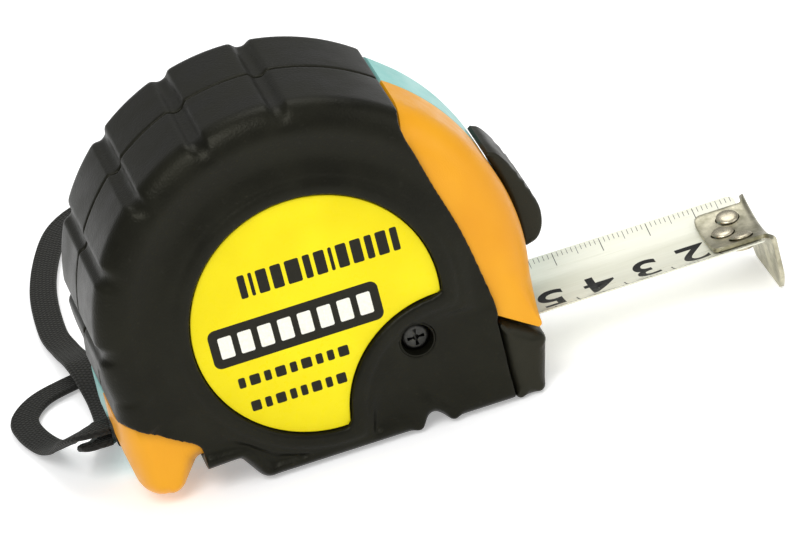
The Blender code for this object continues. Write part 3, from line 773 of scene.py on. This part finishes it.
def grip(word, side):
    """A rubber cover: padded rim, rounded shoulder, dished face and a raised lip round the label's pocket."""
    plain = evened(grip_outline(PAD_HEIGHT), 1.5)
    flat = []
    for x, z, limit in plain:
        turn = degrees(atan2(z, x)) % 360
        if RIM_START <= turn <= GRIP_START and hypot(x, z) > RIM_RADIUS - PAD_HEIGHT - 0.1:
            scale = (RIM_RADIUS - 0.9 * PAD_HEIGHT) / hypot(x, z)
            x, z = x * scale, z * scale
        flat.append((x, z, limit))
    ways = reliefs(plain, eased([2.6 if z < -25 else 5.0 for _, z, _ in plain]))
    rings = [at_y(inset(plain, 0.25), SEAM), at_y(plain, SEAM + 0.3), at_y(plain, 8.0)]
    for share, rise in quarter(12):
        fade = rise ** 3
        mixed = [(a + (c - a) * fade, b + (d - b) * fade, k) for (a, b, k), (c, d, _) in zip(plain, flat)]
        rings.append(at_y(shifted(mixed, ways, share), GRIP_FACE - GRIP_ROUNDING * (1 - rise)))
    shoulder = rings[-1]
    turns = onward([atan2(z - LABEL_CENTRE[1], x - LABEL_CENTRE[0]) for x, _, z in shoulder])
    foot = label_ring(turns, LIP_WIDTH + 1.6)
    for i in range(1, 9):
        share = i / 8
        dish = DISH * sin(pi * share) ** 1.2
        ring = []
        for (x, _, z), (a, b, _) in zip(shoulder, foot):
            ring.append((x + (a - x) * share, GRIP_FACE - dish, z + (b - z) * share))
        rings.append(ring)
    lip = (
        (LIP_WIDTH + 0.7, GRIP_FACE + 0.12),
        (LIP_WIDTH + 0.1, GRIP_FACE + 0.5),
        (LIP_WIDTH - 0.5, LIP_FACE - 0.08),
        (LIP_WIDTH - 1.2, LIP_FACE),
        (1.0, LIP_FACE),
        (GAP, LIP_FACE - 0.25),
        (GAP, GRIP_FACE - 1.0),
    )
    rings += [at_y(label_ring(turns, grow), y) for grow, y in lip]
    made = finished(f"rubber_{word}", loft(mirror(rings, side)), "rubber")
    combine(made, prism(grip_region(), -30.0, 30.0), "INTERSECT")
    combine(made, loft(mirror(shell_rings(shell_outline(), GAP), side)))
    for tool in screw_recesses(side, 10.0):
        combine(made, tool)
    if side > 0:
        combine(made, clip_hole())
    return made


def clip_hole():
    return turned(CLIP_SCREW, [(CLIP_HOLE, 10.0), (CLIP_HOLE, 30.0)])


def recess_sleeve(name, at, side):
    """The rubber that lines a screw's recess down to the screw's seat."""
    profile = [(2.95, 16.95), (3.58, 16.95), (3.58, 20.6), (3.3, 20.6), (3.1, 18.5)]
    made = finished(name, turned(at, [(r, side * y) for r, y in profile], closed=True), "rubber", 40)
    return stands_for(made, "case", "rubber")


def label(word, side):
    """The printed film on its plate, with a softened edge."""
    turns = sorted([2 * pi * i / 240 for i in range(240)] + bite_corners())
    back = LABEL_FACE - 0.45
    edge = ((0.0, back), (0.0, LABEL_FACE - 0.2), (-0.08, LABEL_FACE - 0.05), (-0.25, LABEL_FACE))
    rings = [at_y(label_ring(turns, grow), y) for grow, y in edge]
    made = finished(f"film_{word}", loft(mirror(rings, side)), "label", 30)
    if side > 0:
        combine(made, clip_hole())
    return made


def bite_corners():
    """The angles of the two corners where the bite meets the label's rim."""
    x, z, bite = BITE
    apart = hypot(x, z)
    half = acos((LABEL_RADIUS ** 2 + apart * apart - bite * bite) / (2 * LABEL_RADIUS * apart))
    return [(atan2(z, x) + half) % (2 * pi), (atan2(z, x) - half) % (2 * pi)]


def nose_block():
    """The black bumper at the front of the base, with the blade's way out through it."""
    corners = outline((35.0, BASE, 1.0), (41.2, BASE, 1.5), (44.0, -21.9, 1.4), (35.0, -15.6, 0.6))
    profile = evened(corners, 0.8)
    half, rounding = 20.4, 2.4
    ways = reliefs(profile, [rounding] * len(profile))
    rings = [at_y(shifted(profile, ways, share), half - rounding * (1 - rise)) for share, rise in quarter(6)]
    block = finished("bumper", loft(both_sides(rings)), "black")
    combine(block, mouth_slot())
    soften(block, 0.3, 3)
    return block


# Marks on the label: plain bars and a rounded panel, thin films on the label's face


def rounded_bar(x, z, half, tall, radius):
    """A bar of a half length and half height with rounded corners, centred at a place on the label."""
    radius = min(radius, half * 0.95, tall * 0.95)
    corners = ((x - half, z - tall), (x + half, z - tall), (x + half, z + tall), (x - half, z + tall))
    return outline(*[(a, b, radius) for a, b in corners])


def marks(name, bars, side, finish="dark_ink", low=LABEL_FACE):
    a, b = LABEL_CENTRE
    placed_bars = [(a + x, b + z, half, tall, radius) for x, z, half, tall, radius in bars]
    shapes = [prism(rounded_bar(*bar), side * low, side * (low + INK)) for bar in placed_bars]
    made = finished(name, merged(shapes), finish)
    made.data.set_sharp_from_angle(angle=radians(30))
    return stands_for(made, "case", "label")


def row(start, end, z, tall, widths, space=0.8):
    """A row of bars that fills a length, as wide as each other's shares say."""
    room = (end - start) - space * (len(widths) - 1)
    bars, x = [], start
    for width in widths:
        half = room * width / sum(widths) / 2
        bars.append((x + half, z, half, tall, 0.35))
        x += 2 * half + space
    return bars


def label_marks(word, side):
    """Three plain rows and a dark panel with pale bars. On the far side they keep clear of the clip."""
    if side > 0:
        upper = [bar for z in (-17.0, -20.0) for bar in row(-9.0, 6.0, z, 0.8, (3, 2, 4, 2))]
        marks(f"marks_{word}", upper, side)
        return
    rows = row(-13.2, 19.4, 10.4, 2.5, (2, 1, 3, 3, 4, 2, 3, 1, 3, 3, 2, 3, 2))
    rows += row(-18.2, 4.4, -9.3, 1.1, (2, 3, 2, 3, 2, 3, 2, 2, 3), 0.9)
    rows += row(-16.9, 2.6, -14.8, 1.1, (3, 2, 3, 2, 2, 3, 2, 3), 0.9)
    marks(f"marks_{word}", rows, side)
    marks(f"panel_{word}", [(-4.4, -0.9, 17.4, 4.2, 1.6)], side)
    bars = row(-20.0, 11.2, -0.9, 2.3, (3, 3, 3, 3, 3, 3, 3, 3), 1.3)
    marks(f"bars_{word}", bars, side, "pale_ink", LABEL_FACE + INK)


# Screws


def cross(turn):
    """Half-width of a cross recess at an angle."""
    arm = min(abs((turn + pi / 4) % (pi / 2) - pi / 4), pi / 4)
    return 1.75 / max(cos(arm), 0.75) if arm < radians(17) else 0.62


def screw(name, side, radius):
    """A pan-head screw with a cross recess, where its CAD node is."""
    low, high = box_ends(name)
    at = ((low.x + high.x) / 2, (low.z + high.z) / 2)
    top = max(side * low.y, side * high.y)
    shank = top - 1.8
    end = min(side * low.y, side * high.y)
    profile = [(0.65, end), (1.3, end + 1.2), (1.3, shank), (radius, shank)]
    profile += [(radius - 0.9 * share, shank + 0.7 + 1.1 * rise) for share, rise in quarter(6)]
    profile += [(cross, top), (lambda turn: cross(turn) * 0.75, top - 1.2)]
    shape = turned(at, [(r, side * y) for r, y in profile], 72, pi / 72)
    made = finished(name.replace("screw", "fixing"), shape, "screw", 35)
    return stands_for(made, "case", "screw", name)


# Blade and hook

CURVE_RADIUS = (BLADE_WIDTH ** 2 / 4 + BLADE_RISE ** 2) / (2 * BLADE_RISE)


def blade_height(y):
    """Underside of the curved blade across its width."""
    return BLADE_LOW + CURVE_RADIUS - sqrt(CURVE_RADIUS * CURVE_RADIUS - y * y)


def band(half, low, high, steps=32):
    """The (y, z) outline of a band on the blade's curve, from low to high above its underside."""
    across = [-half + 2 * half * i / steps for i in range(steps + 1)]
    under = [(y, blade_height(y) + low) for y in across]
    over = [(y, blade_height(y) + high) for y in reversed(across)]
    bulge = (high - low) * 0.25
    right = (half + bulge, blade_height(half) + (low + high) / 2)
    left = (-half - bulge, blade_height(half) + (low + high) / 2)
    return under + [right] + over + [left]


def along_x(stations):
    """A loft through (x, outline) stations."""
    return loft([[(x, y, z) for y, z in points] for x, points in stations])


def blade():
    half = BLADE_WIDTH / 2 - 0.08
    stops = [BLADE_START + (BLADE_END - 1.2 - BLADE_START) * i / 40 for i in range(41)]
    stations = [(x, band(half, 0.0, BLADE_THICKNESS)) for x in stops]
    for back, narrow in ((0.6, 0.25), (0.25, 0.6), (0.0, 1.2)):
        stations.append((BLADE_END - back, band(half - narrow, 0.0, BLADE_THICKNESS)))
    return finished("blade_strip", along_x(stations), "blade", 40)


def on_blade(bm, lift):
    """Lays a flat drawing, in x and y, on the blade's upper side."""
    for k in range(-17, 18):
        geometry = bm.verts[:] + bm.edges[:] + bm.faces[:]
        bmesh.ops.bisect_plane(bm, geom=geometry, plane_co=(0, k * 0.7, 0), plane_no=(0, 1, 0))
    for vert in bm.verts:
        vert.co.z += blade_height(vert.co.y) + BLADE_THICKNESS + lift
    return bm


def flat_bar(x, y, half_x, half_y):
    bm = bmesh.new()
    corners = ((-1, -1), (1, -1), (1, 1), (-1, 1))
    bm.faces.new([bm.verts.new((x + a * half_x, y + b * half_y, 0.0)) for a, b in corners])
    return bm


def numeral(text, x, y, tall):
    """A number whose foot points to the blade's middle, so that it is read from the far side."""
    curve = bpy.data.curves.new("numeral", "FONT")
    curve.body = text
    curve.align_x = "CENTER"
    curve.align_y = "CENTER"
    curve.size = tall * 1.4
    curve.offset = tall * 0.02
    holder = linked("numeral", curve)
    mesh = baked(holder)
    bm = bmesh.new()
    bm.from_mesh(mesh)
    bpy.data.objects.remove(holder, do_unlink=True)
    bpy.data.meshes.remove(mesh)
    for vert in bm.verts:
        vert.co = Vector((x - vert.co.x, y - vert.co.y, 0.0))
    return bm


def printed(name, drawings):
    made = finished(name, on_blade(merged(drawings), 0.012), "print")
    return stands_for(made, "blade", "blade")


def scale_print():
    """Millimetre ticks, longer at 5 and 10 mm and finer on the far edge, and a number at each centimetre."""
    edge = BLADE_WIDTH / 2 - 0.35
    ticks, numbers = [], []
    for mark in range(2, int(HOOK_FACE - BLADE_START)):
        x = HOOK_FACE - mark
        long = 5.6 if mark % 10 == 0 else 3.4 if mark % 5 == 0 else 2.0
        thick = 0.13 if mark % 10 == 0 else 0.09
        ticks.append(flat_bar(x, -edge + long / 2, thick, long / 2))
        ticks.append(flat_bar(x, edge - long * 0.3, thick * 0.6, long * 0.3))
    for centimetre in range(1, 8):
        numbers.append(numeral(str(centimetre), HOOK_FACE - 10 * centimetre + 5.6, -2.4, 9.2))
    printed("scale_ticks", ticks)
    printed("scale_numbers", numbers)


def at_rivet(number, bm):
    """Puts a shape where a rivet stands, square to the curved blade."""
    x, y = round(RIVETS[number - 1].x, 1), RIVETS[number - 1].y
    turn = Matrix.Rotation(asin(y / CURVE_RADIUS), 4, "X")
    bmesh.ops.transform(bm, matrix=Matrix.Translation((x, y, blade_height(y))) @ turn, verts=bm.verts)
    return bm


def upright(profile, stretch=0.0, sides=32):
    """A round shape about Z, from (radius, z) pairs, drawn out along X by a stretch."""
    rings = []
    for radius, z in profile:
        ring = []
        for i in range(sides):
            turn = 2 * pi * (i + 0.5) / sides
            x = radius * cos(turn)
            ring.append((x + (stretch if x > 0 else -stretch), radius * sin(turn), z))
        rings.append(ring)
    return loft(rings)


def rivet(number):
    """A rivet with a flat foot under the blade and a domed head over the hook's plate."""
    profile = [(1.0, -0.9), (1.9, -0.85), (2.1, -0.6), (2.1, -0.3), (1.3, -0.3), (1.3, 1.7), (2.2, 1.7)]
    profile += [(2.3 * (1 - share), 1.85 + 0.65 * rise) for share, rise in quarter(6)[:6]]
    made = finished(f"rivet_{number}", at_rivet(number, upright(profile)), "rivet", 40)
    return stands_for(made, "blade", "rivet", f"hook_rivet_{number}")


def narrowing(share):
    """How far a rounded end draws in, from 1 at its tip to 0 where the curve is over."""
    return 1 - sqrt(max(0.0, 1 - (1 - share) ** 2))


def hook_width(travel, plate, half_plate, half_leg, tall):
    """Half the hook's width at a distance along it, from the plate's free end to the leg's foot."""
    if travel < 2.0:
        return half_plate - 1.6 * narrowing(travel / 2.0)
    if travel < plate - 0.3:
        return half_plate
    share = min(1.0, (travel - plate + 0.3) / 2.7)
    wide = half_plate + (half_leg - half_plate) * share * share * (3 - 2 * share)
    from_foot = plate + tall - travel
    if from_foot < 3.6:
        wide = half_leg - 3.5 * (1 - from_foot / 3.6) ** 1.3
    return wide


def end_hook():
    """One pressed sheet: a plate on the blade's curve, a round bend, and a leg down in front of the blade."""
    low, thick, bend = BLADE_THICKNESS + GAP, 0.9, 1.7
    steps, columns = 64, 24
    plate = HOOK_OUTER - HOOK_START - bend
    crown = BLADE_LOW + low + thick
    tall = crown - bend - HOOK_FOOT
    turn_length = bend * pi / 2
    whole = plate + turn_length + tall
    rings = []
    for i in range(steps + 1):
        travel = whole * (i / steps)
        half = hook_width(travel, plate, 8.6, 12.0, turn_length + tall)
        upper, lower = [], []
        for k in range(columns + 1):
            y = -half + 2 * half * k / columns
            rise = blade_height(y) - BLADE_LOW
            if travel <= plate:
                point, way = (HOOK_START + travel, crown + rise), (0, 1)
            elif travel <= plate + turn_length:
                turn = (travel - plate) / bend
                point = (HOOK_START + plate + bend * sin(turn), crown - bend * (1 - cos(turn)) + rise)
                way = (sin(turn), cos(turn))
            else:
                down = travel - plate - turn_length
                ease = max(0.0, 1 - down / tall)
                point, way = (HOOK_OUTER, crown - bend - down + rise * ease), (1, 0)
            upper.append((point[0], y, point[1]))
            lower.append((point[0] - way[0] * thick, y, point[1] - way[1] * thick))
        rings.append(upper + list(reversed(lower)))
    made = finished("hook", loft(rings), "hook", 40)
    for number in (1, 2, 3):
        combine(made, at_rivet(number, upright([(1.65, 0.0), (1.65, 3.5)], 0.9)))
    bevelled(made, 0.12)
    return made


# Lock


def lock_button():
    """The thumb button: a hump on the front arc with raised ribs across its upper slope."""
    heights = [
        (-6.0, 0.8), (-4.8, 2.9), (-2.5, 4.2), (0.5, 4.8),
        (4.0, 4.8), (12.0, 3.6), (20.0, 2.2), (22.5, 0.8),
    ]
    inner = FRONT_RADIUS + GAP
    top = []
    for turn, rise in flowing(heights, 6):
        rib = 0.3 * max(0.0, sin((turn - 6.0) * 2.4)) ** 2 if 6.0 < turn < 19.0 else 0.0
        top.append(arc(FRONT_CENTRE, inner + max(0.5, min(5.0, rise)) - rib, turn, turn)[0])
    under = arc(FRONT_CENTRE, inner, 22.2, -5.8, 1.5)
    profile = top + under
    rings = []
    for share, rise in quarter(6):
        rings.append(at_y(inset(profile, 0.9 * share), 7.1 + 0.9 * rise))
    made = finished("thumb_button", loft(both_sides(rings)), "black")
    combine(made, front_sector(SHANK_SPAN, FRONT_RADIUS - 2.4, inner + 0.4, 3.0), "UNION")
    creased(made, 40)
    return made


# Clip


def clip_strip(name, spine, half, low_half):
    """A bent steel strip from (y, z) points on its inner face, 1 mm thick, with rounded edges and end."""
    points = flowing(spine, 6)
    rings = []
    for i, (y, z) in enumerate(points):
        wide = half + (low_half - half) * i / (len(points) - 1)
        from_end = z - points[-1][1]
        if from_end < 2.5:
            wide -= 2.5 * narrowing(from_end / 2.5)
        ring = [(-wide, y + 0.2), (-wide + 0.2, y), (wide - 0.2, y), (wide, y + 0.2)]
        ring += [(wide, y + 0.8), (wide - 0.2, y + 1.0), (-wide + 0.2, y + 1.0), (-wide, y + 0.8)]
        rings.append([(x, b, z) for x, b in ring])
    return finished(name, loft(rings), "steel", 40)


def belt_clip():
    low, high = box_ends("clip_plate")
    base, top, bend = low.y, high.z, low.z - GAP
    spine = [(base, top - i * (top - bend - GAP) / 6) for i in range(7)]
    plate = clip_strip("clip_foot", spine, 9.0, 9.0)
    combine(plate, clip_hole())
    plate.data.set_sharp_from_angle(angle=radians(40))
    reach = box_ends("clip_spring")[1].y - 1.0
    spine = [
        (base, bend), (base + 0.5, bend - 1.5), (reach - 1.2, -3.5), (reach - 0.25, -6.0),
        (reach - 0.05, -9.0), (reach - 0.2, -15.0), (reach - 1.3, -21.0), (reach - 2.0, -25.0),
        (reach - 1.8, -27.0), (reach - 0.6, -29.0),
    ]
    tongue = clip_strip("clip_tongue", spine, 9.0, 7.0)
    stands_for(plate, "case", "steel", "clip_plate")
    stands_for(tongue, "clip", "steel", "clip_spring")


# Strap

STRAP_WIDTH = 6.0
STRAP_THICKNESS = 1.2
STRAP_ROUTE = (
    (-42.7, 0.0, -21.0), (-45.0, 0.3, -21.1), (-47.8, 2.0, -21.9), (-50.2, 6.5, -24.4),
    (-52.0, 13.0, -28.6), (-54.2, 21.0, -31.6), (-56.4, 30.0, -32.1), (-56.4, 37.5, -32.1),
    (-52.0, 44.0, -32.1), (-44.5, 47.3, -32.1), (-34.0, 49.6, -32.1), (-22.0, 54.0, -32.1),
    (-12.5, 64.0, -32.1), (-8.0, 80.0, -32.1), (-7.0, 98.0, -32.1), (-9.5, 115.0, -32.1),
    (-15.5, 127.0, -32.1), (-24.5, 131.0, -32.1), (-32.5, 125.0, -32.1), (-38.0, 112.0, -32.1),
    (-42.2, 94.0, -32.1), (-43.8, 74.0, -32.1), (-43.0, 62.0, -31.2), (-42.2, 52.0, -29.3),
    (-41.8, 47.0, -28.8), (-41.2, 41.0, -29.3), (-40.6, 31.0, -31.2), (-41.4, 20.0, -31.6),
    (-44.0, 11.5, -29.6), (-46.6, 5.5, -26.8), (-46.6, 1.7, -24.7), (-44.8, 0.3, -23.8),
    (-42.7, 0.0, -23.6),
)


def webbing_section():
    """(across, up) points round the band: flat faces with a slightly thicker, rounded edge."""
    half, thick = STRAP_WIDTH / 2, STRAP_THICKNESS / 2
    over = [(half * k / 6, thick * (0.86 if abs(k) < 5 else 1.0)) for k in range(-5, 6)]
    edge = [(half * 0.95, thick * 0.75), (half, 0.0), (half * 0.95, -thick * 0.75)]
    under = [(a, -b) for a, b in reversed(over)]
    return over + edge + under + [(-a, b) for a, b in reversed(edge)]


def wrist_strap():
    """The loop of flat webbing, out of the case, round on the ground and back."""
    route = [Vector(p) for p in flowing(STRAP_ROUTE, 12)]
    lengths = [0.0]
    for a, b in zip(route, route[1:]):
        lengths.append(lengths[-1] + (b - a).length)
    section = webbing_section()
    bm = bmesh.new()
    layer = bm.loops.layers.uv.new("weave")
    rings = []
    for i, at in enumerate(route):
        along = (route[min(i + 1, len(route) - 1)] - route[max(i - 1, 0)]).normalized()
        aside = Vector((0, 0, 1)).cross(along).normalized()
        up = along.cross(aside)
        rings.append([bm.verts.new(at + aside * a + up * b) for a, b in section])
    girth = [0.0]
    for (a, b), (c, d) in zip(section, section[1:] + section[:1]):
        girth.append(girth[-1] + hypot(c - a, d - b))
    for i, (low, high) in enumerate(zip(rings, rings[1:])):
        for k in range(len(section)):
            j = (k + 1) % len(section)
            face = bm.faces.new((low[k], low[j], high[j], high[k]))
            for loop, (a, b) in zip(face.loops, ((i, k), (i, k + 1), (i + 1, k + 1), (i + 1, k))):
                loop[layer].uv = (lengths[a], girth[b])
    bm.faces.new(rings[0])
    bm.faces.new(rings[-1])
    strap = finished("webbing_loop", bm, "webbing")
    stands_for(strap, "case", "webbing", "wrist_strap")


# Camera, lights and floor


def camera():
    """Looks down at the near side from a little to the left, with the picture's bottom tilted."""
    right = Vector((0.9468, -0.2262, -0.229)).normalized()
    back = Vector((-0.1124, -0.8989, 0.4234))
    back = (back - right * back.dot(right)).normalized()
    up = back.cross(right)
    aim = CENTRE + Vector((21.0, -4.9, -4.9)) * MM
    distance, width = 1.2, 0.1581
    made = bpy.data.cameras.new("camera")
    made.sensor_width = 36.0
    made.lens = made.sensor_width * distance / width
    made.clip_start = 0.05
    holder = linked("camera", made)
    turn = Matrix((right, up, back)).transposed().to_4x4()
    holder.matrix_world = Matrix.Translation(aim + back * distance) @ turn
    bpy.context.scene.camera = holder


def area_light(name, place, size, power):
    aim = (0, 0, 0.03)
    light = bpy.data.lights.new(name, "AREA")
    light.shape = "DISK"
    light.size = size
    light.energy = power
    holder = linked(name, light)
    holder.location = place
    holder.rotation_euler = (Vector(aim) - Vector(place)).to_track_quat("-Z", "Y").to_euler()


def studio():
    floor_mesh = bpy.data.meshes.new("floor")
    bm = bmesh.new()
    bmesh.ops.create_grid(bm, x_segments=8, y_segments=8, size=3.0)
    bm.to_mesh(floor_mesh)
    bm.free()
    floor = linked("floor", floor_mesh)
    floor.location.z = -0.0002
    paper = Nodes("paper", (0.93, 0.93, 0.93), 0.8)
    paper.tint(paper.noise(60.0), (0.925, 0.925, 0.925), (0.935, 0.935, 0.935))
    paper.set("Emission Color", (1.0, 1.0, 1.0, 1.0))
    paper.set("Emission Strength", 0.36)
    floor_mesh.materials.append(paper.made)
    area_light("key", (-0.35, -0.75, 0.95), 0.7, 7.4)
    area_light("top", (0.25, 0.35, 1.1), 0.9, 5.0)
    area_light("fill", (0.9, -0.6, 0.5), 0.9, 2.6)
    world = bpy.data.worlds.new("studio")
    world.use_nodes = True
    sky = world.node_tree.nodes["Background"].inputs
    sky["Color"].default_value = (1.0, 1.0, 1.0, 1.0)
    sky["Strength"].default_value = 0.42
    bpy.context.scene.world = world
    bpy.context.scene.view_settings.view_transform = "Standard"


def repaint():
    """Gives each CAD node that stays its slot's own material."""
    for entry in frame["record"]["subparts"]:
        node = frame["nodes"][entry["node"]]
        finish = MATERIALS[entry["material_slot"]]
        node.data.materials.clear()
        node.data.materials.append(finish)


def main():
    camera()
    studio()
    repaint()
    wrist_strap()
    for word, side, slot in (("right", -1, "orange"), ("left", 1, "teal")):
        stands_for(case_shell(word, side, slot), "case", slot, f"case_{word}")
        cover = grip(word, side)
        soften(cover, 0.4, 3)
        stands_for(cover, "case", "rubber", f"grip_{word}")
        stands_for(label(word, side), "case", "label", f"label_{word}")
        label_marks(word, side)
    stands_for(nose_block(), "case", "black", "nose_block")
    recess_sleeve("recess_lining_front", FRONT_SCREW, -1)
    for number, at in enumerate(FAR_SCREWS, 1):
        recess_sleeve(f"recess_lining_{number}", at, 1)
    screw("case_screw_front", -1, 2.9)
    for word in ("top", "rear", "heel"):
        screw(f"case_screw_{word}", 1, 2.9)
    screw("clip_screw", 1, 3.2)
    stands_for(blade(), "blade", "blade", "blade")
    scale_print()
    for number in (1, 2, 3):
        rivet(number)
    stands_for(end_hook(), "hook", "hook", "end_hook")
    stands_for(lock_button(), "lock", "black", "lock_button")
    belt_clip()


main()
